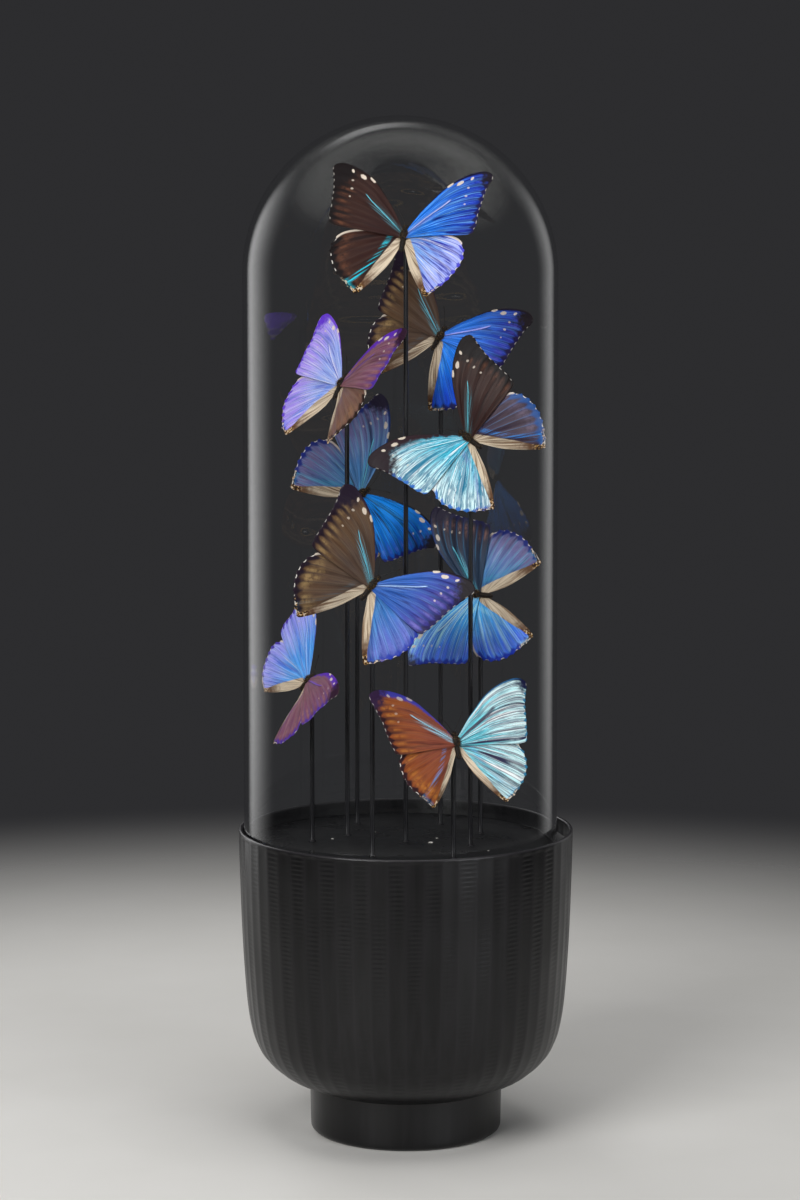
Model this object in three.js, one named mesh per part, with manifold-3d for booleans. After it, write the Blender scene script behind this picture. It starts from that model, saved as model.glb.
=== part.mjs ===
// Nine spread blue butterflies on thin rods, under a tall glass dome that stands in a black carved bowl.
// Millimetres, +Z up. The front is -Y. The origin is at the middle of the foot, on the surface it rests on.
import * as THREE from 'three';
import { mergeVertices } from 'three/addons/utils/BufferGeometryUtils.js';
import Module from 'manifold-3d';

const wasm = await Module();
wasm.setup();

// ---- driving dimensions -------------------------------------------------------------------------
const FIT = 0.3; // gap between pieces that touch

const RIM_HEIGHT = 194; // top of the bowl's rim above the table
const RIM_RADIUS = 106.8;
const RIM_WIDTH = 2.6; // width of the rim's flat top
const RECESS_DEPTH = 13.4; // from the rim down to the floor that the disc lies on
const WALL_FLATS = 60; // upright flats cut round the bowl
const FOOT_RADIUS = 61.5;
const FOOT_HEIGHT = 30;
const FOOT_EDGE = 3; // rounding of the foot's lower edge

const DISC_THICKNESS = 3.7;
const DISC_SEGMENTS = 40;

const DOME_RADIUS = 100;
const DOME_WALL = 3;
const DOME_TOP = 648; // crown of the glass above the table
const DOME_OFFSET = -3.5; // the glass stands a little left of the bowl's middle
const DOME_SEGMENTS = 40;
const CROWN_STEPS = 8;

const ROD_RADIUS = 1.5;
const ROD_SIDES = 8;
const ROD_DROP = 1; // the rod ends this far below the thorax's middle

const WING_THICKNESS = 0.7;
const WING_STEP = 0.35; // half the space between the planes of the fore and hind wings
const WING_ARCH = 2.2; // how far a wing bows up in its middle
const WING_SAMPLES = 15; // steps round a wing's outline
const THORAX_RADIUS = 2.7;
const BODY_SIDES = 6;
const FEELER_RADIUS = 0.3;
const LEG_RADIUS = 0.35;

// ---- heights and radii that follow ---------------------------------------------------------------
const RECESS_FLOOR = RIM_HEIGHT - RECESS_DEPTH;
const RECESS_RADIUS = RIM_RADIUS - RIM_WIDTH;
const DISC_UNDERSIDE = RECESS_FLOOR + FIT;
const DISC_TOP = DISC_UNDERSIDE + DISC_THICKNESS;
const DOME_FOOT = DISC_TOP + FIT;
const CROWN_CENTRE = DOME_TOP - DOME_RADIUS;

// The turned outline of the bowl's outer wall, radius and height, from the foot up to the rim.
const BOWL_WALL = [
  [63, 31],
  [78.3, 37.6],
  [87.8, 45.4],
  [94.2, 54],
  [98.6, 66],
  [101.8, 86],
  [104.6, 125],
  [106.3, 170],
];

// Outline of a right forewing, outwards and forwards from the middle of the thorax, for a wing 64 mm long.
const FOREWING = [
  [1.5, 3.5],
  [8, 14],
  [14, 22],
  [21, 30.5],
  [29, 37],
  [38, 41.8],
  [46, 43.8],
  [51.5, 40.5],
  [50, 33],
  [48.7, 24],
  [48, 11],
  [47.5, 3.5],
  [44, -1.5],
  [26, -2.5],
  [1.5, -2.5],
];

// Outline of a right hindwing, round to the drawn-out corner by the abdomen's tip.
const HINDWING = [
  [1.5, -1],
  [12, 2.5],
  [24, 1.5],
  [37, -1.5],
  [43.3, -7.5],
  [45, -16],
  [42, -27],
  [35, -36.5],
  [27.5, -42.5],
  [22.5, -39],
  [15, -30],
  [8, -20],
  [1.2, -6],
];

// Half-widths of the body along its length, from the abdomen's tip to the front of the head.
const BODY = [
  [0, -11.5],
  [1.5, -8.5],
  [1.9, -4.5],
  [THORAX_RADIUS, -1],
  [THORAX_RADIUS, 2],
  [1.4, 4.6],
  [1.9, 6.2],
  [0, 8],
];

// Each specimen from the top down. thorax: its middle. rod: where its rod stands. size: against a forewing
// of 64 mm. In degrees: turn, the head to the left as seen from the front; lean, the head towards the front;
// roll, about the body; then for the left and right pair the lift, and the sweep forward of each wing.
const SPECIMENS = [
  {
    thorax: [-1, -3, 572], rod: [0, 2], size: 1.03,
    turn: -13, lean: -30, roll: -15,
    lift: [11, 15], fore: [-2, -1], hind: [-7, -4],
  },
  {
    thorax: [22.5, 55, 506], rod: [23, 60.5], size: 0.97,
    turn: -31, lean: 3, roll: -3,
    lift: [10, 11], fore: [-6, 2], hind: [-4, -9],
  },
  {
    thorax: [-41, 19, 477], rod: [-37.8, 23.1], size: 1.0,
    turn: -30, lean: -13, roll: -52,
    lift: [0, 15], fore: [-3, 0], hind: [-3, 1],
  },
  {
    thorax: [39, -15, 445], rod: [41, -10], size: 0.99,
    turn: 53, lean: -18, roll: 4,
    lift: [12, 11], fore: [-4, -4], hind: [-1, -3],
  },
  {
    thorax: [-29.5, 58.5, 403], rod: [-32, 63.2], size: 1.03,
    turn: -65, lean: -31, roll: 5,
    lift: [0, -1], fore: [-1, -4], hind: [-4, 0],
  },
  {
    thorax: [-21, -45, 355], rod: [-21, -40], size: 1.01,
    turn: -38, lean: -10, roll: -6,
    lift: [18, 20], fore: [-4, -8], hind: [-2, 1],
  },
  {
    thorax: [46, 23.5, 341], rod: [48.5, 28], size: 0.98,
    turn: 87, lean: -27, roll: 11,
    lift: [7, 3], fore: [-2, -5], hind: [-5, -2],
  },
  {
    thorax: [-61.8, -1.5, 289], rod: [-60, 4], size: 0.91,
    turn: -42, lean: 29, roll: -47,
    lift: [8, 23], fore: [-6, 1], hind: [-6, 4],
  },
  {
    thorax: [31, -49.5, 257], rod: [29.5, -44.8], size: 0.96,
    turn: 13, lean: -26, roll: 21,
    lift: [10, 3], fore: [-7, -7], hind: [-1, -3],
  },
];

// ---- materials -----------------------------------------------------------------------------------
const blackWood = new THREE.MeshStandardMaterial({ color: 0x141315, roughness: 0.38, metalness: 0 });
const blackCard = new THREE.MeshStandardMaterial({ color: 0x101012, roughness: 0.5, metalness: 0 });
const clearGlass = new THREE.MeshStandardMaterial({
  color: 0xf4f8f8,
  roughness: 0.03,
  metalness: 0,
  transparent: true,
  opacity: 0.25,
});
const blackMetal = new THREE.MeshStandardMaterial({ color: 0x0c0c0e, roughness: 0.35, metalness: 0.8 });
const blueWing = new THREE.MeshStandardMaterial({ color: 0x3f6fc4, roughness: 0.35, metalness: 0.4 });

// ---- helpers -------------------------------------------------------------------------------------
const radians = THREE.MathUtils.degToRad;
const X_AXIS = new THREE.Vector3(1, 0, 0);
const Y_AXIS = new THREE.Vector3(0, 1, 0);

// A three.js geometry as a solid that can be joined or cut.
function solid(geometry) {
  const bare = geometry.clone();
  bare.deleteAttribute('normal');
  bare.deleteAttribute('uv');
  const merged = mergeVertices(bare, 1e-4);
  const mesh = new wasm.Mesh({
    numProp: 3,
    vertProperties: new Float32Array(merged.attributes.position.array),
    triVerts: new Uint32Array(merged.index.array),
  });
  return new wasm.Manifold(mesh);
}

// A joined or cut solid as a three.js geometry.
function geometryOf(body) {
  const mesh = body.getMesh();
  const geometry = new THREE.BufferGeometry();
  geometry.setAttribute('position', new THREE.BufferAttribute(new Float32Array(mesh.vertProperties), 3));
  geometry.setIndex(new THREE.BufferAttribute(new Uint32Array(mesh.triVerts), 1));
  geometry.computeVertexNormals();
  return geometry;
}

// A profile of radius and height turned about the upright axis.
function turned(profile, segments) {
  const points = profile.map(([radius, height]) => new THREE.Vector2(radius, height));
  const geometry = new THREE.LatheGeometry(points, segments);
  return geometry.rotateX(Math.PI / 2);
}

// Points of an arc in a profile, from one angle to another about a centre on the axis.
function arc(radius, centreHeight, from, to, steps) {
  const points = [];
  for (let i = 0; i <= steps; i += 1) {
    const angle = radians(from + ((to - from) * i) / steps);
    points.push([radius * Math.cos(angle), centreHeight + radius * Math.sin(angle)]);
  }
  points[steps][0] = Math.abs(to) === 90 ? 0 : points[steps][0];
  points[0][0] = Math.abs(from) === 90 ? 0 : points[0][0];
  return points;
}

// A thin straight or bent wire through some points.
function wire(points, radius) {
  const section = new THREE.Shape();
  for (let i = 0; i < 3; i += 1) {
    const angle = (i * 2 * Math.PI) / 3;
    section.lineTo(radius * Math.cos(angle), radius * Math.sin(angle));
  }
  const path = new THREE.CatmullRomCurve3(points.map((point) => new THREE.Vector3(...point)));
  return new THREE.ExtrudeGeometry(section, { steps: 2, bevelEnabled: false, extrudePath: path });
}

// ---- the bowl, its disc and the glass --------------------------------------------------------------
function carvedBowl() {
  const profile = [
    [0, 0],
    [FOOT_RADIUS - 1 - FOOT_EDGE, 0],
    [FOOT_RADIUS - 1, FOOT_EDGE],
    [FOOT_RADIUS, FOOT_HEIGHT],
    ...BOWL_WALL,
    [RIM_RADIUS, RIM_HEIGHT - 1],
    [RIM_RADIUS - 0.8, RIM_HEIGHT],
    [RECESS_RADIUS, RIM_HEIGHT],
    [RECESS_RADIUS, RECESS_FLOOR],
    [0, RECESS_FLOOR],
  ];
  return turned(profile, WALL_FLATS);
}

function displayDisc() {
  const radius = RECESS_RADIUS - 1.5 * FIT;
  const hole = ROD_RADIUS + FIT;
  const profile = [[0, 0], [radius, 0], [radius, DISC_THICKNESS], [0, DISC_THICKNESS]];
  let disc = solid(turned(profile, DISC_SEGMENTS));
  const drill = new THREE.CylinderGeometry(hole, hole, 2 * DISC_THICKNESS, ROD_SIDES).rotateX(Math.PI / 2);
  for (const { rod } of SPECIMENS) {
    disc = disc.subtract(solid(drill.clone().translate(rod[0], rod[1], DISC_THICKNESS / 2)));
  }
  return geometryOf(disc);
}

function glassDome() {
  const inner = DOME_RADIUS - DOME_WALL;
  const profile = [
    ...arc(inner, CROWN_CENTRE, 90, 0, CROWN_STEPS),
    [inner, DOME_FOOT + 1],
    [inner + 1, DOME_FOOT],
    [DOME_RADIUS - 1, DOME_FOOT],
    [DOME_RADIUS, DOME_FOOT + 1],
    ...arc(DOME_RADIUS, CROWN_CENTRE, 0, 90, CROWN_STEPS),
  ];
  return turned(profile, DOME_SEGMENTS);
}

// ---- a butterfly -----------------------------------------------------------------------------------
// How far a wing stands above its own flat plane at a distance out from the body.
function arch(out) {
  return WING_ARCH * Math.sin((Math.PI * Math.min(out, 50)) / 50);
}

// One right wing as a thin closed sheet that fans out from its middle, in the plane of the body.
function wingSheet(outline, level) {
  const curve = new THREE.SplineCurve(outline.map((point) => new THREE.Vector2(...point)));
  const edge = curve.getSpacedPoints(WING_SAMPLES);
  const middle = edge.reduce((sum, point) => sum.add(point), new THREE.Vector2()).divideScalar(edge.length);
  const positions = [];
  for (const side of [1, -1]) {
    for (const point of [...edge, middle]) {
      positions.push(point.x, point.y, level + arch(point.x) + (side * WING_THICKNESS) / 2);
    }
  }
  const count = edge.length;
  const under = count + 1;
  const index = [];
  for (let i = 0; i < count; i += 1) {
    const next = (i + 1) % count;
    index.push(count, next, i);
    index.push(under + count, under + i, under + next);
    index.push(i, next, under + next);
    index.push(i, under + next, under + i);
  }
  const geometry = new THREE.BufferGeometry();
  geometry.setAttribute('position', new THREE.Float32BufferAttribute(positions, 3));
  geometry.setIndex(index);
  return geometry;
}

// A wing swept about the thorax, lifted from the body and put on its side: +1 right, -1 left.
function wing(outline, level, side, sweep, lift) {
  const sheet = solid(wingSheet(outline, level));
  const swept = sheet.rotate([0, 0, sweep]).rotate([0, -lift, 0]);
  return side > 0 ? swept : swept.mirror([1, 0, 0]);
}

function butterflyBody() {
  const profile = BODY.map(([radius, along]) => new THREE.Vector2(radius, along));
  return solid(new THREE.LatheGeometry(profile, BODY_SIDES));
}

function butterfly({ lift, fore, hind, size }) {
  let whole = butterflyBody();
  [-1, 1].forEach((side, i) => {
    whole = whole.add(wing(FOREWING, WING_STEP + WING_THICKNESS / 2, side, fore[i], lift[i]));
    whole = whole.add(wing(HINDWING, -WING_STEP - WING_THICKNESS / 2, side, hind[i], lift[i]));
    const feeler = [[side * 0.6, 6.5, 0.5], [side * 4, 13, 1.6], [side * 8.5, 19, 1.8]];
    whole = whole.add(solid(wire(feeler, FEELER_RADIUS)));
    const frontLeg = [[side * 1, 3, -1.4], [side * 2.6, 4.5, -3.2], [side * 2, 0, -3.4]];
    const backLeg = [[side * 1, -1, -1.4], [side * 3.4, -3, -3.2], [side * 2.4, -7, -3.2]];
    whole = whole.add(solid(wire(frontLeg, LEG_RADIUS)));
    whole = whole.add(solid(wire(backLeg, LEG_RADIUS)));
  });
  return geometryOf(whole.scale([size, size, size]));
}

// The way a specimen faces: its back to the front and its head up, then leaned, rolled and turned.
function attitude({ turn, lean, roll }) {
  const turned = new THREE.Quaternion().setFromAxisAngle(Y_AXIS, radians(-turn));
  const upright = new THREE.Quaternion().setFromAxisAngle(X_AXIS, radians(90 + lean));
  const rolled = new THREE.Quaternion().setFromAxisAngle(Y_AXIS, radians(roll));
  return turned.multiply(upright).multiply(rolled);
}

// ---- assembly --------------------------------------------------------------------------------------
const model = new THREE.Group();

function place(name, geometry, material, position = [0, 0, 0]) {
  const mesh = new THREE.Mesh(geometry, material);
  mesh.name = name;
  mesh.position.set(...position);
  model.add(mesh);
  return mesh;
}

place('carved_bowl', carvedBowl(), blackWood);
place('display_disc', displayDisc(), blackCard, [0, 0, DISC_UNDERSIDE]);
place('glass_dome', glassDome(), clearGlass, [DOME_OFFSET, 0, 0]);

SPECIMENS.forEach((specimen, i) => {
  const insect = place(`butterfly_${i + 1}`, butterfly(specimen), blueWing, specimen.thorax);
  insect.quaternion.copy(attitude(specimen));

  const [x, y] = specimen.rod;
  const length = specimen.thorax[2] - ROD_DROP - DISC_UNDERSIDE;
  const rod = new THREE.CylinderGeometry(ROD_RADIUS, ROD_RADIUS, length, ROD_SIDES);
  rod.rotateX(Math.PI / 2);
  place(`rod_${i + 1}`, rod, blackMetal, [x, y, DISC_UNDERSIDE + length / 2]);
});

export default model;
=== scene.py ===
# %% [markdown]
# # Nine blue butterflies under a glass dome
#
# This lesson dresses a cabinet piece: nine dried Morpho butterflies on black rods, under a tall blown dome
# that stands in a black carved bowl. The construction comes ready made, as the fixed frame. Everything here
# is laid over that frame and only adds what the eye wants: smooth curves, veins, colour, fur and polish.

# %% The fixed frame
import math

import bpy
import numpy as np
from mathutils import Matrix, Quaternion, Vector


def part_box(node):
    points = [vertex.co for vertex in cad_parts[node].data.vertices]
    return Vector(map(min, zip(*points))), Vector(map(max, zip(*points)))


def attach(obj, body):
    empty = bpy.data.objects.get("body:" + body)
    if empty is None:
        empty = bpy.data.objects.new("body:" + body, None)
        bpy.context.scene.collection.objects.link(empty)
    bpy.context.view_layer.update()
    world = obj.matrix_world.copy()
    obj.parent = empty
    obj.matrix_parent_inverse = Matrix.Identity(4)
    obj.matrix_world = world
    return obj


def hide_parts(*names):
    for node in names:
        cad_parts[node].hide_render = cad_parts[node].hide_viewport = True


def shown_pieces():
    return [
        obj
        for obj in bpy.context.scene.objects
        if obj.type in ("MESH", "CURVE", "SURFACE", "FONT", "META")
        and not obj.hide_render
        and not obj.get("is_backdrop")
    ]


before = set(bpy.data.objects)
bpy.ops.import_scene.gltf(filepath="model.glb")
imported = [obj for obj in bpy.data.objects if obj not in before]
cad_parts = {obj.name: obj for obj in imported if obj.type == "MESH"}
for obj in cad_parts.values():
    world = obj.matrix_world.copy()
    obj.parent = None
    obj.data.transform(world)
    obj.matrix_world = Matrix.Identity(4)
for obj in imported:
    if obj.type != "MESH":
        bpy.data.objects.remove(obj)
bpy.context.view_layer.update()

MM = 0.001
scene = bpy.context.scene

# %% [markdown]
# ## Working in plain arrays
#
# A wing is easier to think of as rows of points than as a primitive that is pushed about, so every piece
# here starts as arrays in millimetres. `Shape` gathers points and faces and any value that a material wants
# to read from them, such as how far a point is from the nearest vein. One call at the end makes a mesh.


# %% Shapes in millimetres
class Shape:
    """The points and faces of one piece, in millimetres, with named values for its points."""

    def __init__(self):
        self.points = []
        self.faces = []
        self.slots = []
        self.values = []
        self.count = 0

    def add(self, points, faces, slot=0, **values):
        points = np.asarray(points, float).reshape(-1, 3)
        start = self.count
        self.faces += [[start + corner for corner in face] for face in faces]
        self.slots += [slot] * len(faces)
        self.points.append(points)
        self.values.append({name: np.broadcast_to(value, len(points)) for name, value in values.items()})
        self.count += len(points)

    def value(self, name):
        """A named value for every point, 0 where a part of the shape doesn't have it."""
        parts = [part.get(name, np.zeros(len(p))) for part, p in zip(self.values, self.points)]
        return np.concatenate(parts)

    def mesh(self, name):
        mesh = bpy.data.meshes.new(name)
        points = np.concatenate(self.points) * MM
        mesh.from_pydata(points.tolist(), [], self.faces)
        mesh.polygons.foreach_set("material_index", self.slots)
        mesh.polygons.foreach_set("use_smooth", [True] * len(self.faces))
        for value_name in sorted({key for part in self.values for key in part}):
            attribute = mesh.attributes.new(value_name, "FLOAT", "POINT")
            attribute.data.foreach_set("value", self.value(value_name).astype(np.float32))
        return mesh


def make_piece(name, shape, finishes, stands_for=()):
    """A finished piece of the object, riding on the frame and standing for some of its nodes."""
    piece = bpy.data.objects.new(name, shape.mesh(name))
    scene.collection.objects.link(piece)
    for finish in finishes:
        piece.data.materials.append(finish)
    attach(piece, "root")
    if stands_for:
        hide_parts(*stands_for)
    triangles = sum(len(face) - 2 for face in shape.faces)
    print(f"{name}: {triangles} triangles")
    return piece


# %% Nets, turned shapes and smooth lines
def net_faces(rows, columns, wrap=False):
    """The quads of a net of points that are listed row by row. With wrap, each row closes on itself."""
    across = columns if wrap else columns - 1
    row, column = np.meshgrid(np.arange(rows - 1), np.arange(across), indexing="ij")
    here = (row * columns + column).ravel()
    right = (row * columns + (column + 1) % columns).ravel()
    return np.stack([here, right, right + columns, here + columns], 1).tolist()


def smooth_line(points, count, start=0.0, end=None):
    """A curve through some points, as evenly spaced points, from one point's number to another's."""
    points = np.asarray(points, float)
    last = len(points) - 1
    end = last if end is None else end
    at = np.linspace(start, end, 30 * len(points))
    number = np.clip(at.astype(int), 0, last - 1)
    u = (at - number)[:, None]
    before, here, there, after = (points[np.clip(number + k, 0, last)] for k in (-1, 0, 1, 2))
    line = here + 0.5 * u * (there - before)
    line += u**2 * (before - 2.5 * here + 2 * there - 0.5 * after)
    line += u**3 * (1.5 * (here - there) + 0.5 * (after - before))
    length = np.concatenate([[0], np.cumsum(np.linalg.norm(np.diff(line, axis=0), axis=1))])
    even = np.linspace(0, length[-1], count)
    return np.stack([np.interp(even, length, column) for column in line.T], 1)


def turned(profile, segments, change=None):
    """Points and faces of a profile of radius and height turned about the upright axis."""
    profile = np.asarray(profile, float)
    radius, height = profile.T
    angle = np.arange(segments) * 2 * math.pi / segments
    radius_at = np.repeat(radius[:, None], segments, 1)
    height_at = np.repeat(height[:, None], segments, 1)
    if change is not None:
        radius_at = change(radius_at, height_at, np.broadcast_to(angle, radius_at.shape))
    rings = slice(int(radius[0] == 0), len(radius) - int(radius[-1] == 0))
    net = np.stack([radius_at * np.cos(angle), radius_at * np.sin(angle), height_at], 2)[rings]
    rows = len(net)
    points = net.reshape(-1, 3)
    faces = net_faces(rows, segments, wrap=True)
    if radius[0] == 0:
        pole = len(points)
        points = np.vstack([points, [0, 0, height[0]]])
        faces += [[pole, (i + 1) % segments, i] for i in range(segments)]
    if radius[-1] == 0:
        pole = len(points)
        top = (rows - 1) * segments
        points = np.vstack([points, [0, 0, height[-1]]])
        faces += [[pole, top + i, top + (i + 1) % segments] for i in range(segments)]
    return points, faces


def wire(path, radii, sides):
    """A closed round wire along some points, as thick at each as its radius says."""
    path = np.asarray(path, float)
    radii = np.broadcast_to(radii, len(path))
    along = np.gradient(path, axis=0)
    along /= np.linalg.norm(along, axis=1)[:, None]
    helper = np.array([0.31, 0.87, 0.38])
    side = np.cross(along, helper)
    side /= np.linalg.norm(side, axis=1)[:, None]
    other = np.cross(along, side)
    angle = np.arange(sides) * 2 * math.pi / sides
    ring = np.cos(angle)[None, :, None] * side[:, None] + np.sin(angle)[None, :, None] * other[:, None]
    points = (path[:, None] + ring * radii[:, None, None]).reshape(-1, 3)
    faces = net_faces(len(path), sides, wrap=True)
    faces.append(list(range(sides))[::-1])
    faces.append(list(range((len(path) - 1) * sides, len(path) * sides)))
    return points, faces


# %% [markdown]
# ## A short way to write a finish
#
# A finish is a net of nodes. Written out link by link it hides what it does, so `Nodes` and `Finish` give
# each common step one call: read a value from the mesh, step it, mix two colours by it. Numbers that are
# the same all over a surface are set straight on the shader.


# %% Node trees in a few words
def paint(code):
    """A colour written as six hex digits, as the linear red, green, blue and alpha that shaders use."""
    parts = [int(code[i : i + 2], 16) / 255 for i in (0, 2, 4)]
    return [*(c / 12.92 if c <= 0.04045 else ((c + 0.055) / 1.055) ** 2.4 for c in parts), 1.0]


class Nodes:
    """A net of nodes, built up by short calls that each give back the socket with their result."""

    def __init__(self, tree):
        self.tree = tree

    def add(self, kind, feeds=None, **settings):
        node = self.tree.nodes.new(kind)
        for setting, value in settings.items():
            setattr(node, setting, value)
        for socket, value in (feeds or {}).items():
            self.feed(node.inputs[socket], value)
        return node

    def feed(self, socket, value):
        if isinstance(value, bpy.types.NodeSocket):
            self.tree.links.new(value, socket)
        else:
            socket.default_value = value

    def math(self, operation, first, second=0.0, third=0.0):
        feeds = {0: first, 1: second, 2: third}
        return self.add("ShaderNodeMath", feeds, operation=operation).outputs[0]

    def product(self, *factors):
        result = factors[0]
        for factor in factors[1:]:
            result = self.math("MULTIPLY", result, factor)
        return result

    def step(self, value, start, end, low=0.0, high=1.0):
        """Goes smoothly from low to high while value goes from start to end."""
        feeds = {0: value, 1: start, 2: end, 3: low, 4: high}
        return self.add("ShaderNodeMapRange", feeds, interpolation_type="SMOOTHSTEP").outputs[0]


class Finish(Nodes):
    """A material's net of nodes round one shader."""

    def __init__(self, name):
        self.material = bpy.data.materials.new(name)
        self.material.use_nodes = True
        super().__init__(self.material.node_tree)
        self.tree.nodes.clear()
        self.surface = self.add("ShaderNodeBsdfPrincipled")
        output = self.add("ShaderNodeOutputMaterial")
        self.tree.links.new(self.surface.outputs[0], output.inputs[0])

    def shade(self, **values):
        """Sets the shader's own sockets, with _ for the spaces in their names."""
        for name, value in values.items():
            self.feed(self.surface.inputs[name.replace("_", " ")], value)

    def read(self, value_name):
        return self.add("ShaderNodeAttribute", attribute_name=value_name).outputs["Fac"]

    def place(self):
        """The point's own place in the object, in metres."""
        return self.add("ShaderNodeTexCoord").outputs["Object"]

    def vector(self, x, y, z=0.0):
        return self.add("ShaderNodeCombineXYZ", {0: x, 1: y, 2: z}).outputs[0]

    def scaled(self, vector, scale):
        return self.add("ShaderNodeMapping", {"Vector": vector, "Scale": scale}).outputs[0]

    def noise(self, vector, scale, detail=2.0, roughness=0.5):
        feeds = {"Vector": vector, "Scale": scale, "Detail": detail, "Roughness": roughness}
        return self.add("ShaderNodeTexNoise", feeds).outputs["Fac"]

    def mix(self, amount, first, second):
        """The first colour where amount is 0, and the second where it is 1."""
        node = self.add("ShaderNodeMix", {0: amount, 6: first, 7: second}, data_type="RGBA")
        return node.outputs[2]

    def bump(self, height, strength, distance_mm):
        feeds = {"Height": height, "Strength": strength, "Distance": distance_mm * MM}
        self.feed(self.surface.inputs["Normal"], self.add("ShaderNodeBump", feeds).outputs[0])


# %% [markdown]
# ## The eye and the light
#
# The piece is seen from the front, a little above the middle of the glass, with a long lens that keeps its
# sides nearly upright. A small shift of the lens does the rest of that, as a view camera does.
#
# Glass shows only what it mirrors. Two tall soft boxes stand behind the dome, one to each side, so that the
# cylinder carries an upright band of white near both its edges, and a flat one above them lights the crown.
# They are linked to everything but the floor, where they would leave a line.
#
# A large soft window at the front left gives the wings their colour, a faint one on the right opens the
# shadows, one overhead evens them, and one behind lifts the under sides a little. These four are linked to
# everything but the glass, which would show them as bright squares.

# %% The camera
CAMERA_PLACE = (-0.0037, -2.186, 0.6125)
CAMERA_DOWN_DEG = 3.82
CAMERA_LENS = 103.6
CAMERA_SHIFT = -0.165

camera = bpy.data.objects.new("eye", bpy.data.cameras.new("eye"))
camera.data.lens = CAMERA_LENS
camera.data.shift_y = CAMERA_SHIFT
camera.location = CAMERA_PLACE
camera.rotation_euler = (math.radians(90 - CAMERA_DOWN_DEG), 0, 0)
scene.collection.objects.link(camera)
scene.camera = camera
print("camera stands", round(-CAMERA_PLACE[1], 2), "m in front of the dome")


# %% The lights
LOOK_AT = Vector((0, 0, 0.36))
BACKDROP = (0.026, 0.026, 0.028, 1)


def soft_box(name, place, width, height, watts, colour=(1, 1, 1), aim=LOOK_AT):
    """A flat soft light that faces the piece."""
    lamp = bpy.data.lights.new(name, "AREA")
    lamp.shape = "RECTANGLE"
    lamp.size = width
    lamp.size_y = height
    lamp.energy = watts
    lamp.color = colour
    box = bpy.data.objects.new(name, lamp)
    box.location = place
    box.rotation_mode = "QUATERNION"
    box.rotation_quaternion = (Vector(place) - aim).to_track_quat("Z", "Y")
    box.visible_camera = False
    box.visible_transmission = False
    scene.collection.objects.link(box)
    return box


def fade_edges(box, brightest):
    """Lets a soft box fade out to all its edges, with its brightest line at a share of its width."""
    box.data.use_nodes = True
    lamp = Nodes(box.data.node_tree)
    place = lamp.add("ShaderNodeSeparateXYZ", {0: lamp.add("ShaderNodeNewGeometry").outputs["Parametric"]})
    across, up = place.outputs[0], place.outputs[1]
    fades = [lamp.step(across, 0, brightest), lamp.step(across, 1, brightest)]
    fades += [lamp.step(up, 0, 0.35), lamp.step(up, 1, 0.65)]
    lamp.feed(lamp.tree.nodes["Emission"].inputs["Strength"], lamp.product(*fades))


not_mirrored = bpy.data.collections.new("what the front lights reach")
for box in (
    soft_box("window", (-1.15, -1.75, 1.25), 1.2, 1.2, 41),
    soft_box("fill", (1.5, -1.6, 0.6), 1.0, 1.2, 19, (0.95, 0.97, 1.0)),
    soft_box("sky", (0.1, -0.2, 1.75), 1.1, 1.1, 12),
    soft_box("back", (-0.9, 1.7, 1.3), 1.2, 1.2, 10),
):
    box.light_linking.receiver_collection = not_mirrored
MIDDLE = Vector((0, 0, 0.42))
not_floor = bpy.data.collections.new("what the strips reach")
for box, brightest in (
    (soft_box("left_strip", (-0.8, 0.5, 0.46), 0.8, 1.5, 6.5, aim=MIDDLE), 0.3),
    (soft_box("right_strip", (0.74, 0.62, 0.46), 0.6, 1.5, 2.4, aim=MIDDLE), 0.6),
    (soft_box("crown_strip", (-0.3, 1.1, 1.7), 1.2, 0.4, 1.6, aim=Vector((0, 0, 0.6))), 0.5),
):
    fade_edges(box, brightest)
    box.light_linking.receiver_collection = not_floor

world = bpy.data.worlds.new("studio")
world.use_nodes = True
world.node_tree.nodes["Background"].inputs[0].default_value = BACKDROP
scene.world = world
scene.view_settings.view_transform = "Standard"

# %% The pale floor
FLOOR_RADIUS = 1250
FLOOR_FADE = (450, 1150)


def floor_finish():
    """Pale and smooth, and lost in the dark of the studio some way out."""
    finish = Finish("pale_floor")
    place = finish.place()
    cloud = finish.noise(place, 9, 3)
    colour = finish.mix(cloud, paint("d9d7d2"), paint("e4e2de"))
    finish.shade(Base_Color=colour, Roughness=0.55)
    distance = finish.add("ShaderNodeVectorMath", {0: place}, operation="LENGTH").outputs["Value"]
    finish.shade(Alpha=finish.step(distance, FLOOR_FADE[1] * MM, FLOOR_FADE[0] * MM))
    return finish.material


floor_shape = Shape()
floor_shape.add(*turned([(FLOOR_RADIUS, -0.2), (0, -0.2)], 96))
floor = bpy.data.objects.new("floor", floor_shape.mesh("floor"))
floor.data.materials.append(floor_finish())
scene.collection.objects.link(floor)
floor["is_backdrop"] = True
not_floor.objects.link(floor)
not_floor.collection_objects[0].light_linking.link_state = "EXCLUDE"
print("floor fades out from", FLOOR_FADE[0], "to", FLOOR_FADE[1], "mm")

# %% [markdown]
# ## The carved bowl
#
# A bowl like this is turned on a lathe and then worked with a gouge, which leaves sixty shallow upright
# flutes and, across each, a ladder of fine marks where the tool chattered. It is stained black and waxed, so
# the wood is seen only by its shine.
#
# A bump map could fake both, but the marks catch the light along the bowl's edge and on its outline, so the
# flutes and the ladders are cut in the mesh. Only the grain of the wood is left to the material.

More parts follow.
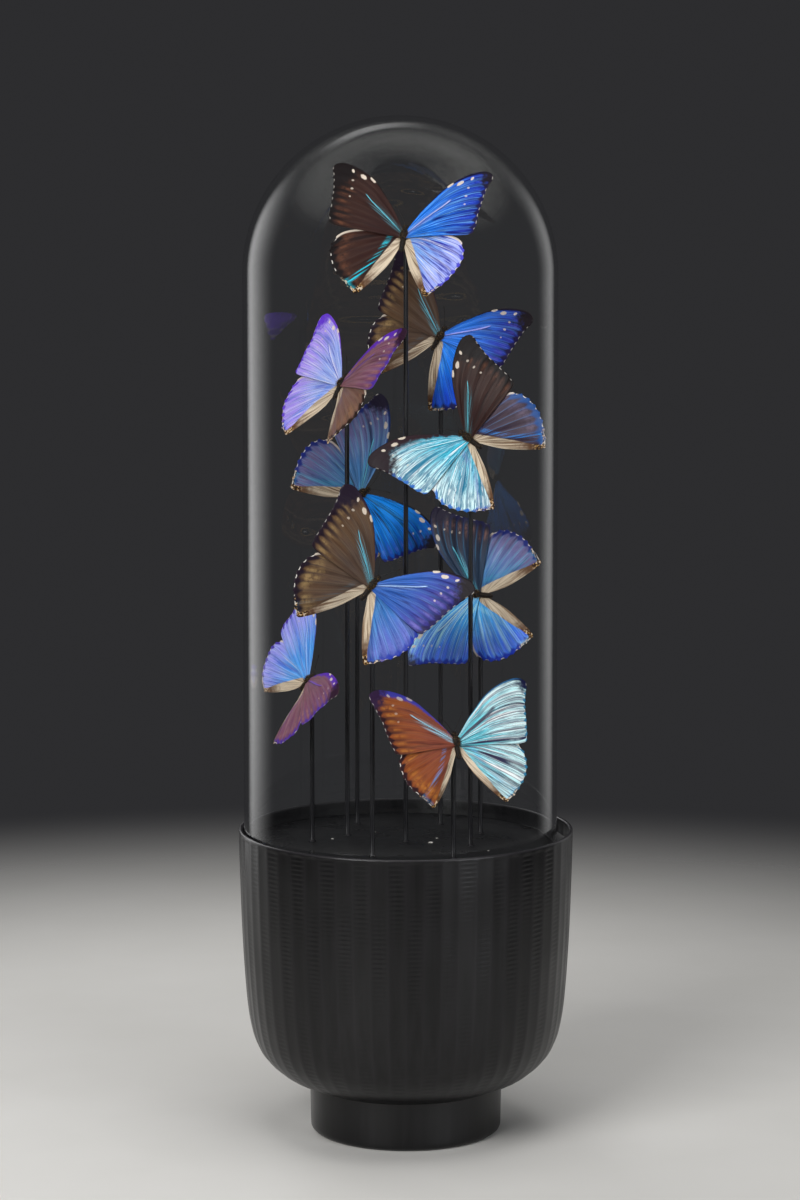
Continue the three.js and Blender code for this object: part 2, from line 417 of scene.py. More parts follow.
# %% Its outline
BOWL_WALL = [
    (61.6, 30.4), (63.4, 31.2), (70.6, 34), (78.3, 37.6), (87.8, 45.4), (94.2, 54), (98.6, 66),
    (101.8, 86), (104.6, 125), (106.3, 170), (106.8, 192.4),
]
FOOT_WALL = [(57.5, 0), (59.2, 0.5), (60.3, 1.6), (60.8, 3.4), (61.0, 12), (61.3, 24), (61.6, 30)]
RIM = [(106.7, 193.3), (106.3, 193.85), (105.6, 194), (104.8, 193.9), (104.3, 193.4), (104.2, 192.6)]
RECESS_FLOOR = 180.6
WALL_ROWS = 190
FLUTES = 60
FLUTE_COLUMNS = 7
FLUTE_DEPTH = 0.3
MARK_PITCH = 2.9
MARK_DEPTH = 0.12
FLUTED_FROM = 31
FLUTED_TO = 193
FOOT_REACH = 61.5

wall_line = smooth_line(BOWL_WALL, WALL_ROWS)
foot_line = smooth_line(FOOT_WALL, 22)
bowl_profile = np.vstack(
    [[(0, 0), (40, 0)], foot_line, wall_line, RIM, [(104.2, 188), (104.2, RECESS_FLOOR), (0, RECESS_FLOOR)]]
)
print("the bowl's outline has", len(bowl_profile), "points, up to", bowl_profile[:, 1].max(), "mm")


# %% Flutes and tool marks
def flute_share(height):
    """1 on the fluted wall, 0 on the foot and the rim."""
    return np.clip((height - FLUTED_FROM) / 5, 0, 1) * np.clip((FLUTED_TO - height) / 1.2, 0, 1)


def carve(radius, height, angle):
    """Cuts each flute a little hollow, with marks across it that differ from flute to flute."""
    turn = angle / (2 * math.pi) * FLUTES
    flute = np.floor(turn + 1e-9)
    across = 2 * (turn - flute) - 1
    hollow = FLUTE_DEPTH * (1 - across**2) * (1 + 0.25 * np.sin(7.3 * flute))
    phase = 2.4 * flute + 0.9 * np.sin(height / 11 + 1.7 * flute)
    strength = 0.5 + 0.5 * np.sin(height / 19 + 3.1 * flute)
    marks = MARK_DEPTH * strength * (1 - across**2) * np.sin(2 * math.pi * height / MARK_PITCH + phase)
    outside = radius > FOOT_REACH
    return radius - outside * flute_share(height) * (hollow + marks)


bowl_points, bowl_faces = turned(bowl_profile, FLUTES * FLUTE_COLUMNS, carve)
bowl_angle = np.arctan2(bowl_points[:, 1], bowl_points[:, 0]) / (2 * math.pi) * FLUTES
bowl_ridge = np.abs(2 * (bowl_angle - np.floor(bowl_angle)) - 1) ** 4 * flute_share(bowl_points[:, 2])
# A thin band round the rim's rounded lip, paler for wear and for a painted highlight along the lip.
rim_edge = np.clip(1 - np.abs(bowl_points[:, 2] - 193.6) / 0.8, 0, 1)
bowl_shape = Shape()
bowl_shape.add(bowl_points, bowl_faces, ridge=bowl_ridge, worn=rim_edge)


# %% Black stained wood
def black_wood():
    finish = Finish("black_wood")
    place = finish.place()
    grain = finish.noise(finish.scaled(place, (260, 260, 14)), 1, 4, 0.6)
    cloud = finish.noise(place, 22, 3)
    colour = finish.mix(finish.step(grain, 0.35, 0.7), paint("060607"), paint("0f0e10"))
    colour = finish.mix(finish.product(finish.read("ridge"), 0.35), colour, paint("1c1a1d"))
    # The rim's lip in a paler grey: partly wear, partly a painted highlight.
    colour = finish.mix(finish.product(finish.read("worn"), 0.6), colour, paint("3a383b"))
    finish.shade(Base_Color=colour, Specular_IOR_Level=0.27, Coat_Weight=0.1, Coat_Roughness=0.2)
    finish.shade(Roughness=finish.step(cloud, 0.3, 0.7, 0.28, 0.4))
    finish.bump(grain, 0.35, 0.12)
    return finish.material


make_piece("bowl", bowl_shape, [black_wood()], ["carved_bowl"])


# %% [markdown]
# ## The disc that carries everything
#
# A thin black lacquered disc lies in the bowl's recess. Its shape in the frame is already true, so it stays
# and only gets its finish: a satin black with a faint cloud in its polish and specks of dust, which glass
# always gathers. A few pale flakes of dried wing lie loose on it.

# %% Black lacquer with dust
def black_lacquer():
    finish = Finish("black_lacquer")
    place = finish.place()
    cloud = finish.noise(place, 35, 4, 0.6)
    specks = finish.step(finish.noise(place, 900, 1), 0.77, 0.83)
    colour = finish.mix(finish.product(specks, 0.5), paint("0d0d0f"), paint("6d6b68"))
    finish.shade(Base_Color=colour, Roughness=finish.step(cloud, 0.3, 0.7, 0.24, 0.4))
    finish.bump(cloud, 0.12, 0.2)
    return finish.material


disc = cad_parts["display_disc"]
disc.data.materials.clear()
disc.data.materials.append(black_lacquer())
DISC_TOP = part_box("display_disc")[1].z / MM
print("the disc's face is", round(DISC_TOP, 2), "mm above the table")


# %% Loose flakes
FLAKES = [(16, -2, 1.9), (20, 12, 0.9), (-47, 10, 0.9), (4, -60, 0.6), (52, -22, 0.6), (-20, 34, 0.7)]
FLAKE_CORNERS = 7


def pale_flake():
    finish = Finish("pale_flake")
    cloud = finish.noise(finish.place(), 1500, 2)
    finish.shade(Base_Color=finish.mix(cloud, paint("b9b3a8"), paint("f2efe8")), Roughness=0.6)
    return finish.material


flakes = Shape()
for x, y, size in FLAKES:
    around = np.arange(FLAKE_CORNERS) * 2 * math.pi / FLAKE_CORNERS
    edge = size * (0.8 + 0.25 * np.sin(3 * around + x))
    level = np.full(FLAKE_CORNERS, DISC_TOP + 0.02)
    lower = np.stack([x + edge * np.cos(around), y + 0.7 * edge * np.sin(around), level], 1)
    upper = lower + [0, 0, 0.16 + 0.1 * size]
    faces = net_faces(2, FLAKE_CORNERS, wrap=True)
    faces += [list(range(FLAKE_CORNERS))[::-1], list(range(FLAKE_CORNERS, 2 * FLAKE_CORNERS))]
    flakes.add(np.vstack([lower, upper]), faces)
make_piece("loose_flakes", flakes, [pale_flake()])

# %% [markdown]
# ## The butterflies' places
#
# Each insect's stance is a short list: where the middle of its thorax is, which way its head leans, and how
# far each pair of wings is lifted or swept forward. Most of these numbers came out of a fitting program and
# were rounded. The frame was built from the same ones, so the insects fall exactly on their plain stand-ins.

# %% Stances
ORDER = ("thorax", "rod", "size", "turn", "lean", "roll", "lift", "fore", "hind")
STANCES = [
    ((-1, -3, 572), (0, 2), 1.03, -13, -30, -15, (11, 15), (-2, -1), (-7, -4)),
    ((22.5, 55, 506), (23, 60.5), 0.97, -31, 3, -3, (10, 11), (-6, 2), (-4, -9)),
    ((-41, 19, 477), (-37.8, 23.1), 1.0, -30, -13, -52, (0, 15), (-3, 0), (-3, 1)),
    ((39, -15, 445), (41, -10), 0.99, 53, -18, 4, (12, 11), (-4, -4), (-1, -3)),
    ((-29.5, 58.5, 403), (-32, 63.2), 1.03, -65, -31, 5, (0, -1), (-1, -4), (-4, 0)),
    ((-21, -45, 355), (-21, -40), 1.01, -38, -10, -6, (18, 20), (-4, -8), (-2, 1)),
    ((46, 23.5, 341), (48.5, 28), 0.98, 87, -27, 11, (7, 3), (-2, -5), (-5, -2)),
    ((-61.8, -1.5, 289), (-60, 4), 0.91, -42, 29, -47, (8, 23), (-6, 1), (-6, 4)),
    ((31, -49.5, 257), (29.5, -44.8), 0.96, 13, -26, 21, (10, 3), (-7, -7), (-1, -3)),
]
STANCES = [dict(zip(ORDER, stance)) for stance in STANCES]


def attitude(stance):
    """The turn that brings an insect from lying flat, head away along +Y, to its stance."""
    turned_by = Quaternion((0, 1, 0), math.radians(-stance["turn"]))
    upright = Quaternion((1, 0, 0), math.radians(90 + stance["lean"]))
    rolled = Quaternion((0, 1, 0), math.radians(stance["roll"]))
    return np.array((turned_by @ upright @ rolled).to_matrix())


def in_place(points, stance):
    return points * stance["size"] @ attitude(stance).T + stance["thorax"]


print(len(STANCES), "butterflies, the highest", max(s["thorax"][2] for s in STANCES), "mm up")

# %% [markdown]
# ## The rods
#
# Nine thin rods, painted satin black, stand in holes in the disc. Where each goes in there is a small
# ring of glue, and at its top a dab of the same glue holds the thorax. Both are part of the rod here.

# %% Rods with their glue
ROD_RADIUS = 1.5
ROD_SIDES = 24
GLUE_RING = [(1.15, 0), (0.95, 0.35), (0.35, 0.75)]


def rod_shape(number, stance):
    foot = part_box(f"rod_{number}")[0].z / MM
    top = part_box(f"rod_{number}")[1].z / MM
    x, y = stance["rod"]
    collar = [(ROD_RADIUS + wider, DISC_TOP + higher) for wider, higher in GLUE_RING]
    profile = [(0, foot), (ROD_RADIUS, foot), (ROD_RADIUS, DISC_TOP - 0.2), *collar]
    profile.append((ROD_RADIUS, DISC_TOP + 1.5))
    heights = np.linspace(DISC_TOP + 12, top - 0.5, 12)
    profile += [(ROD_RADIUS, height) for height in heights]
    profile += [(ROD_RADIUS - 0.15, top - 0.15), (ROD_RADIUS - 0.5, top), (0, top)]
    points, faces = turned(profile, ROD_SIDES)
    shape = Shape()
    shape.add(points + [x, y, 0], faces)
    return shape


def glue_dab(stance):
    """A drop of glue drawn out from the rod's top to the thorax."""
    start = np.array([*stance["rod"], stance["thorax"][2] - 2.2])
    end = np.array(stance["thorax"], float)
    steps = np.linspace(0, 1, 9)[:, None]
    path = start * (1 - steps) + end * steps
    radii = 0.9 + 0.9 * np.sin(math.pi * steps[:, 0]) ** 0.7
    return wire(path, radii, 12)


def black_metal():
    finish = Finish("black_metal")
    place = finish.place()
    drawn = finish.noise(finish.scaled(place, (900, 900, 12)), 1, 3)
    colour = finish.mix(drawn, paint("0a0a0c"), paint("1c1b1f"))
    finish.shade(Base_Color=colour, Roughness=finish.step(drawn, 0.3, 0.7, 0.22, 0.36))
    finish.shade(Specular_IOR_Level=0.6, Coat_Weight=0.4, Coat_Roughness=0.12)
    finish.bump(drawn, 0.15, 0.05)
    return finish.material


rod_finish = black_metal()
for number, stance in enumerate(STANCES, 1):
    rod = rod_shape(number, stance)
    rod.add(*glue_dab(stance))
    make_piece(f"rod_with_glue_{number}", rod, [rod_finish], [f"rod_{number}"])

# %% [markdown]
# ## A wing's form
#
# A Morpho's wing is a dry membrane far thinner than paper, held open by tubes, the veins. It isn't flat: it
# bows up from the body, is pleated between the veins, and has gone a little wavy in drying. The outer margin
# is scalloped, with a point where each vein ends. The hindwing has a soft inner panel that folds down along
# the abdomen.
#
# A wing could be cut out of a flat plate, but then its points would know nothing of its veins. Here the
# space between its four edges is filled by a net: one family of lines runs out from the root as the veins do,
# the other crosses them. Every seventh line is a vein, so pleats, veins and colours all follow the same net.

# %% Outlines and veins
FOREWING = {
    "outline": [
        (1.5, 3.5), (8, 14), (14, 22), (21, 30.5), (29, 37), (38, 41.8), (46, 43.8), (51.5, 40.5),
        (50, 33), (48.7, 24), (48, 11), (47.5, 3.5), (44, -1.5), (26, -2.5), (1.5, -2.5),
    ],
    "tip": 6.8, "heel": 11.5, "level": 0.7, "cells": 9, "scallop": 0.45, "fold": 0.0, "seed": 0.0,
}
HINDWING = {
    "outline": [
        (1.5, -1), (12, 2.5), (24, 1.5), (37, -1.5), (43.3, -7.5), (45, -16), (42, -27),
        (35, -36.5), (27.5, -42.5), (22.5, -39), (15, -30), (8, -20), (1.2, -6),
    ],
    "tip": 3.6, "heel": 8.0, "level": -0.7, "cells": 8, "scallop": 1.0, "fold": 7.5, "seed": 5.0,
}
COLUMNS_IN_CELL = 7
WING_ROWS = 52
WING_SKIN = 0.22
WING_ARCH = 2.2
BAR_STEPS = 80
BAR = [(2, 1), (14, 10.5), (23, 18), (29, 24)]


def distance_to(points, line):
    """How far each flat point is from a line's points."""
    gaps = points[:, None] - line[None]
    return np.sqrt((gaps**2).sum(2)).min(1)


def side_of_line(points, line):
    """How far each flat point is from a line, less than 0 on its right."""
    line = np.asarray(line, float)
    dense = smooth_line(line, BAR_STEPS)
    nearest = ((points[:, None] - dense[None]) ** 2).sum(2).argmin(1)
    along = np.gradient(dense, axis=0)[nearest]
    gap = points - dense[nearest]
    side = np.sign(along[:, 0] * gap[:, 1] - along[:, 1] * gap[:, 0])
    return side * np.linalg.norm(gap, axis=1), nearest / (BAR_STEPS - 1)


# %% The net between four edges
def wing_net(kind):
    """Flat points of a wing, row by row from its root to its margin, and its margin."""
    columns = kind["cells"] * COLUMNS_IN_CELL + 1
    outline = kind["outline"]
    last = len(outline) - 1
    front = smooth_line(outline, WING_ROWS, 0, kind["tip"])
    inner = smooth_line(outline, WING_ROWS, last, kind["heel"])
    margin = smooth_line(outline, columns, kind["tip"], kind["heel"])
    across = np.linspace(0, 1, columns)[:, None]
    reach = np.linspace(0, 1, WING_ROWS)[:, None]
    inward = np.array(outline).mean(0) - margin
    inward /= np.linalg.norm(inward, axis=1)[:, None]
    notch = np.abs(np.sin(math.pi * kind["cells"] * across)) ** 0.8
    margin = margin + inward * notch * kind["scallop"]
    root = front[0] * (1 - across) + inner[0] * across
    a, t = across[None], reach[:, None]
    net = (1 - a) * front[:, None] + a * inner[:, None] + (1 - t) * root[None] + t * margin[None]
    at_root = (1 - a) * (1 - t) * front[0] + a * (1 - t) * inner[0]
    net -= at_root + (1 - a) * t * margin[0] + a * t * margin[-1]
    return net, front, inner, margin


def wing_values(kind, net, front, inner, margin):
    """What the finishes want to know about each point of a wing."""
    rows, columns = net.shape[:2]
    flat = net.reshape(-1, 2)
    across = np.tile(np.linspace(0, kind["cells"], columns), rows)
    reach = np.repeat(np.linspace(0, 1, rows), columns)
    cell_width = np.linalg.norm(np.gradient(net, axis=1), axis=2).ravel() * COLUMNS_IN_CELL
    bar_gap, bar_at = side_of_line(flat, BAR)
    return {
        "across": across,
        "reach": reach,
        "vein_gap": np.abs(across - np.round(across)) * cell_width,
        "margin_gap": distance_to(flat, smooth_line(margin, 300)),
        "front_gap": distance_to(flat, smooth_line(front, 200)),
        "inner_gap": distance_to(flat, smooth_line(inner, 200)),
        "out": flat[:, 0],
        "forth": flat[:, 1],
        "bar_gap": bar_gap,
        "bar_at": bar_at,
    }


def wing_height(kind, values, seed):
    """How high each point of a wing stands above the body's plane."""
    out, reach, across = values["out"], values["reach"], values["across"]
    arch = WING_ARCH * np.sin(math.pi * np.minimum(out, 50) / 50)
    pleat = 0.2 * np.cos(math.pi * across) * np.sin(math.pi * reach**0.9) ** 0.7
    vein = 0.13 * np.exp(-((values["vein_gap"] / 0.4) ** 2)) * np.clip(reach * 3, 0, 1)
    wave = np.sin(out / 9 + 5.1 * seed) * np.cos(values["forth"] / 11 + 3.3 * seed) * reach**1.5
    ruffle = 0.35 * np.sin(1.7 * across + 7 * seed) * reach**6
    height = kind["level"] + arch + pleat + vein + 0.45 * wave + ruffle
    if kind["fold"]:
        folded = np.clip(1 - values["inner_gap"] / kind["fold"], 0, 1) ** 1.3
        height -= 2.1 * folded * np.clip(reach * 4, 0, 1)
    return height


# %% The wing as a closed skin
def wing_skin(kind, side, sweep, lift, seed, slots, shape, stance):
    """Adds one wing to a shape: its upper face, its under face and the thin edge between them."""
    net, front, inner, margin = wing_net(kind)
    values = wing_values(kind, net, front, inner, margin)
    height = wing_height(kind, values, seed)
    rows, columns = net.shape[:2]
    flat = net.reshape(-1, 2)
    both = [np.column_stack([flat, height + gap]) for gap in (WING_SKIN / 2, -WING_SKIN / 2)]
    points = np.vstack(both)
    c, s = math.cos(math.radians(sweep)), math.sin(math.radians(sweep))
    spin = np.array([[c, -s, 0], [s, c, 0], [0, 0, 1]])
    c, s = math.cos(math.radians(lift)), math.sin(math.radians(lift))
    raise_up = np.array([[c, 0, -s], [0, 1, 0], [s, 0, c]])
    points = points @ spin.T @ raise_up.T
    points[:, 0] *= side
    upper = net_faces(rows, columns)
    count = rows * columns
    under = [[corner + count for corner in face[::-1]] for face in upper]
    loop = [*range(columns), *range(2 * columns - 1, count, columns)]
    loop += [*range(count - 2, count - columns - 1, -1), *range(count - 2 * columns, 0, -columns)]
    rim = [[b, a, a + count, b + count] for a, b in zip(loop, loop[1:] + loop[:1])]
    doubled = {name: np.tile(value, 2) for name, value in values.items()}
    doubled["seed"] = np.full(2 * count, seed)
    doubled["upper"] = np.repeat([1.0, 0.0], count)
    turn_over = side * WING_TURNS[kind["level"] > 0]
    faces = [upper, under, rim]
    if turn_over < 0:
        faces = [[face[::-1] for face in group] for group in faces]
    start = shape.count
    shape.add(in_place(points, stance), faces[0], slots[0], **doubled)
    for group, slot in zip(faces[1:], slots[1:]):
        shape.faces += [[start + corner for corner in face] for face in group]
        shape.slots += [slot] * len(group)


def net_turn(kind):
    """1 if a wing's net runs so that its faces look up, otherwise -1."""
    net = wing_net(kind)[0]
    row, column = net.shape[0] // 2, net.shape[1] // 2
    right = net[row, column + 1] - net[row, column]
    away = net[row + 1, column] - net[row, column]
    return 1 if right[0] * away[1] - right[1] * away[0] > 0 else -1


WING_TURNS = {True: net_turn(FOREWING), False: net_turn(HINDWING)}
print("nets look up:", WING_TURNS)

# %% [markdown]
# ## The colour of a wing
#
# Morpho blue isn't a dye. Each scale is a stack of clear ridges that throws back blue light one way and
# little another way, over a brown ground. So on one insect a wing can look azure, lavender or white as ice,
# while its neighbour, turned a few degrees more, shows only the brown. Each wing here has a named look for
# that, which paints into its colour the blue light that wing threw back as it was set, and in the two ice
# looks the white glare where it mirrored the lamp. The looks are mixed from the same parts: a colour near the
# root and one far out, streaks of painted highlight and painted shade between the veins where the pleated
# membrane catches or loses the light, a dark border and tip, cream spots along the front edge, and a white
# fringe.
#
# A shader that shifts its colour with the eye would be truer to the scale, but not to this display, which is
# judged by how each wing was set. A shader that shifts its colour with the eye would be truer to the scale,
# but here the looks stay put as each wing was set, and a little metal in them gives the silk.

# %% The looks
# Light, dark, bar and glint are the colours of painted highlight, painted shade and painted glints.
LOOK_COLOURS = ("near", "far", "light", "dark", "vein", "border", "tip", "edge", "blotch", "bar", "glint")
USUAL = {
    "streaks": 0.6, "shade": 0.9, "blotches": 0.3, "smoke": 0.25, "glints": 0.3, "shine": 0.25,
    "creases": 0.0, "run": 1.0, "metal": 0.3, "border_mm": 2.4, "tip_mm": 10, "edge_mm": 1.6, "bar_mm": 0.8,
    "spots": 1.0, "panel": 1.0, "flash": 0.0,
}


def a_look(colours, **amounts):
    """A look's eleven colours and its amounts, the usual one wherever none is given."""
    return dict(zip(LOOK_COLOURS, map(paint, colours.split()))) | USUAL | amounts


LOOKS = {
    "azure": a_look(
        "1a7cf0 183cc0 7cc4ff 0a2080 0e3098 120c48 150b1c 12103c 5060e8 cdd0ff 9fe4ff",
        streaks=0.9, shade=1.3, smoke=0.35, metal=0.35, border_mm=2.2, tip_mm=8, bar_mm=1.0,
    ),
    "violet_blue": a_look(
        "2078ec 2c3cb4 6cb0ff 0e1058 182478 160c40 160a14 1a0c24 6c60cc a9a8f4 7fc4f0",
        shade=1.0, blotches=0.5, smoke=0.6, border_mm=2.8, tip_mm=11,
    ),
    "dusk_blue": a_look(
        "2458ac 363088 5c84c8 151856 203c88 1a1050 160a14 1a0c24 8076bc a9c8f4 7fc4f0",
        streaks=0.45, blotches=0.6, smoke=0.6, border_mm=2.8, tip_mm=11,
    ),
    "soft_blue": a_look(
        "2a70b8 4c58a8 749cd4 20307c 284c90 1c34a8 1c34a8 1a3cb0 8088cc a9c8f4 5fb4e8",
        streaks=0.5, shade=0.7, border_mm=2.2,
    ),
    "deep_blue": a_look(
        "0c84ff 0c54f4 48a0ff 081c80 0a2c98 0a1260 0c0a20 0c0a20 3f6ef0 8cc0ff 7fd4ff",
        shade=0.8, smoke=0.4, border_mm=3.0, tip_mm=9,
    ),
    "sea_blue": a_look(
        "0090fc 0058cc 28b0ff 042450 0a3c78 101a6c 120b18 120b18 7a8cd8 3a88c0 7fdcf4",
        shade=1.1, blotches=0.4, smoke=0.4, metal=0.25, border_mm=2.2,
    ),
    "sky_streaked": a_look(
        "3cb4ff 4078ff b4eaff 1044b4 1868c8 1434b4 12143c 1438a0 8078f0 d0f4ff b8f4ff",
        streaks=0.9, shade=0.7, glints=0.8, shine=0.9, flash=0.9, creases=0.25, run=0.5, metal=0.1,
        tip_mm=6, edge_mm=2.4,
    ),
    "cornflower": a_look(
        "50acff a4a4ff d0e0ff 3048d0 3c58bc 4a34a8 3c2c98 4a46b0 a4a4ff 9cc4ff 6fb8ff",
        streaks=0.8, shade=0.8, smoke=0.1, metal=0.15, border_mm=1.4, tip_mm=6, edge_mm=0.8,
    ),
    "periwinkle": a_look(
        "a4bcff b498ff eeeeff 4050d4 5a66c8 6236cc 6030c8 7b4ae0 b8acfc dfe0ff 3f90ff",
        streaks=0.9, shade=0.8, smoke=0.15, glints=0.9, metal=0.2, border_mm=1.4, edge_mm=2.2,
    ),
    "lavender": a_look(
        "80b4ff a8b4ff f0f2ff 2830b0 343ca8 4a46cc 2b2f96 4a46cc b8b8ff dfe0ff 4f9cff",
        streaks=1.3, shade=1.5, smoke=0.1, metal=0.2, border_mm=1.2, tip_mm=6, edge_mm=0.8,
    ),
    "steel": a_look(
        "4680bc 6c689c a0c0e8 241f3c 2a8cac 1a2a80 1c1230 1a3c84 8a7c9c 6fd0e8 3fb8d4",
        streaks=0.5, shade=0.65, blotches=0.5, glints=0.5, shine=0.6, metal=0.2, tip_mm=12,
    ),
    "slate": a_look(
        "243850 2a2430 405470 0e0e16 1c6c94 1a1a48 1c1430 1c3468 94685c 6fd0e8 3fb8d4",
        streaks=0.45, shade=0.6, blotches=0.7, smoke=0.6, glints=0.5, shine=0.6, metal=0.2, tip_mm=12,
        spots=0.7,
    ),
    "mauve": a_look(
        "3c3044 3e303c 5c4c54 2a1f2c 4a6c94 1a4e94 2b1526 6a5c6c 7c6c84 8fc0d8 2f84d8",
        streaks=0.45, shade=0.6, blotches=0.45, smoke=0.5, glints=0.9, metal=0.2, border_mm=3.6, tip_mm=14,
    ),
    "violet_brown": a_look(
        "8a5a60 80486c bc8c90 381c28 7c6478 4c2898 2c0e26 6628c0 b8866c 8455cc 5a5ac8",
        streaks=0.45, shade=0.6, blotches=0.6, smoke=0.4, metal=0.2, tip_mm=11, edge_mm=6.0,
    ),
    "taupe": a_look(
        "7a584e 745246 a48474 301c14 6c5448 24140e 1c0e0a 5a3c60 9c7450 8fc0d8 3f6cb0",
        streaks=0.3, shade=0.5, blotches=0.5, smoke=0.5, glints=0.2, metal=0.05, border_mm=2.6, tip_mm=12,
    ),
    "brown": a_look(
        "311815 33180f 482c22 140908 3c2924 0e0505 100607 180b0c 6c4028 6fd8ec 22c8de",
        streaks=0.25, shade=0.6, blotches=0.8, smoke=0.85, glints=1.0, shine=0.3, metal=0.05, border_mm=3.0,
        tip_mm=16, edge_mm=1.4, bar_mm=0.5,
    ),
    "golden": a_look(
        "544034 5e442e 7c6650 2c1e18 4a3a30 1c0c1c 1e1024 2c1830 a88a5c 6fd0e8 2f9cbc",
        streaks=0.2, shade=0.4, blotches=0.8, smoke=0.85, glints=0.12, shine=0.9, metal=0.05, border_mm=3.0,
        tip_mm=14, bar_mm=0.55,
    ),
    "rust": a_look(
        "8e4a38 904820 b06a3a 44201a 7c4838 2a0e16 30183c 3c3aa4 c47c34 a4e4fa 4aa8f0",
        streaks=0.3, shade=0.6, blotches=0.8, smoke=0.6, glints=0.5, shine=0.8, metal=0.05, edge_mm=4.4,
        spots=0.6, panel=0.6,
    ),
    # The ice looks paint the white glare of wings that mirrored the lamp, and painted shade in its creases.
    "ice": a_look(
        "58d8f2 dcfcff ffffff 0a7094 0c7698 2c70c8 1f0c18 2a141c f0ffff d8ffff 6a70c0",
        streaks=1.4, shade=1.0, smoke=0.0, glints=0.9, shine=0.0, creases=0.85, run=0.5, metal=0.0,
        border_mm=1.2, tip_mm=17, edge_mm=9.0, bar_mm=0.6, panel=0.8,
    ),
    # Its dark wedges and creases are painted shade across the glare.
    "ice_streaked": a_look(
        "6ee6f6 d0fcff ffffff 2a1c3c 243458 2a7ca4 0b0e38 1c5c8c e8ffff 3a3048 3fb4f4",
        streaks=1.4, shade=1.9, smoke=0.0, glints=0.6, shine=0.0, creases=0.55, run=0.3, metal=0.0,
        border_mm=0.5, tip_mm=6, edge_mm=1.2, bar_mm=1.6, spots=0.0, panel=0.65,
    ),
}
CREAM = paint("e6d6c4")
FRINGE = paint("e9e2da")
# Shaded and silk are the fold panel's painted shade and painted sheen; the others are its own colours.
PANEL = {
    "shaded": paint("80634a"), "silk": paint("e4d2b8"), "brown": paint("5c3a22"), "gold": paint("b88c40"),
    "hooks": paint("160c08"),
}
FRONT_SPOTS = [(25, 33.4, 2.3, 0.9, 41), (31.2, 34.8, 2.4, 1.2, 38), (38.4, 38.4, 1.4, 0.8, 60)]
INNER_SPOTS = [(37.5, 31.5, 1.0, 0.8, 0), (37, 25.7, 1.1, 0.8, 0), (37.4, 19.9, 0.8, 0.7, 0)]
print(len(LOOKS), "looks:", ", ".join(LOOKS))


# %% Marks that a wing's upper side carries
def streaks_of(finish, share, turns, seed_shift):
    """A noise drawn out along the veins, finer with more turns to a cell."""
    across = finish.product(finish.read("across"), turns)
    along = finish.product(finish.read("reach"), share)
    layer = finish.math("ADD", finish.read("seed"), seed_shift)
    return finish.noise(finish.vector(across, along, layer), 1, 3, 0.6)


def least(finish, values):
    result = values[0]
    for value in values[1:]:
        result = finish.math("MINIMUM", result, value)
    return result


def spots_of(finish, spots):
    """How far a point of a wing is from the nearest spot's middle, counted in that spot's own size."""
    flat = finish.vector(finish.read("out"), finish.read("forth"))
    gaps = []
    for x, y, long, short, slant in spots:
        feeds = {"Vector": flat, "Location": (x, y, 0), "Rotation": (0, 0, math.radians(slant))}
        feeds["Scale"] = (long, short, 1)
        inside = finish.add("ShaderNodeMapping", feeds, vector_type="TEXTURE").outputs[0]
        gaps.append(finish.add("ShaderNodeVectorMath", {0: inside}, operation="LENGTH").outputs["Value"])
    return least(finish, gaps)


def ground_colour(finish, look):
    """The look's main colour with its streaks of painted highlight and painted shade, and the fine streaks
    themselves.
    """
    fine = streaks_of(finish, 1.9 * look["run"], 6.5, 0)
    broad = streaks_of(finish, 1.3 * look["run"], 0.9, 9)
    fading = finish.step(finish.read("reach"), 0.5, 1.0, 1.0, 0.55)
    swayed = finish.math("MULTIPLY_ADD", broad, 0.8, finish.read("reach"))
    colour = finish.mix(finish.step(swayed, 0.7, 1.3), look["near"], look["far"])
    # Dark streaks: painted shade; light streaks: painted sheen of the pleated membrane.
    for streak, dark, light in ((broad, (0.47, 0.3), (0.55, 0.72)), (fine, (0.46, 0.3), (0.54, 0.68))):
        colour = finish.mix(finish.product(finish.step(streak, *dark), look["shade"]), colour, look["dark"])
        shine = finish.product(finish.step(streak, *light), look["streaks"], fading)
        colour = finish.mix(shine, colour, look["light"])
    # Thin dark crease lines, in painted shade.
    if look["creases"]:
        for share, turns, seed_shift in ((2.6, 1.7, 31), (4.5, 2.6, 47)):
            ridges = streaks_of(finish, share * look["run"], turns, seed_shift)
            from_ridge = finish.math("SUBTRACT", ridges, 0.5)
            crease = finish.step(finish.math("ABSOLUTE", from_ridge), 0.045, 0.008)
            colour = finish.mix(finish.product(crease, look["creases"]), colour, look["vein"])
    return colour, fine


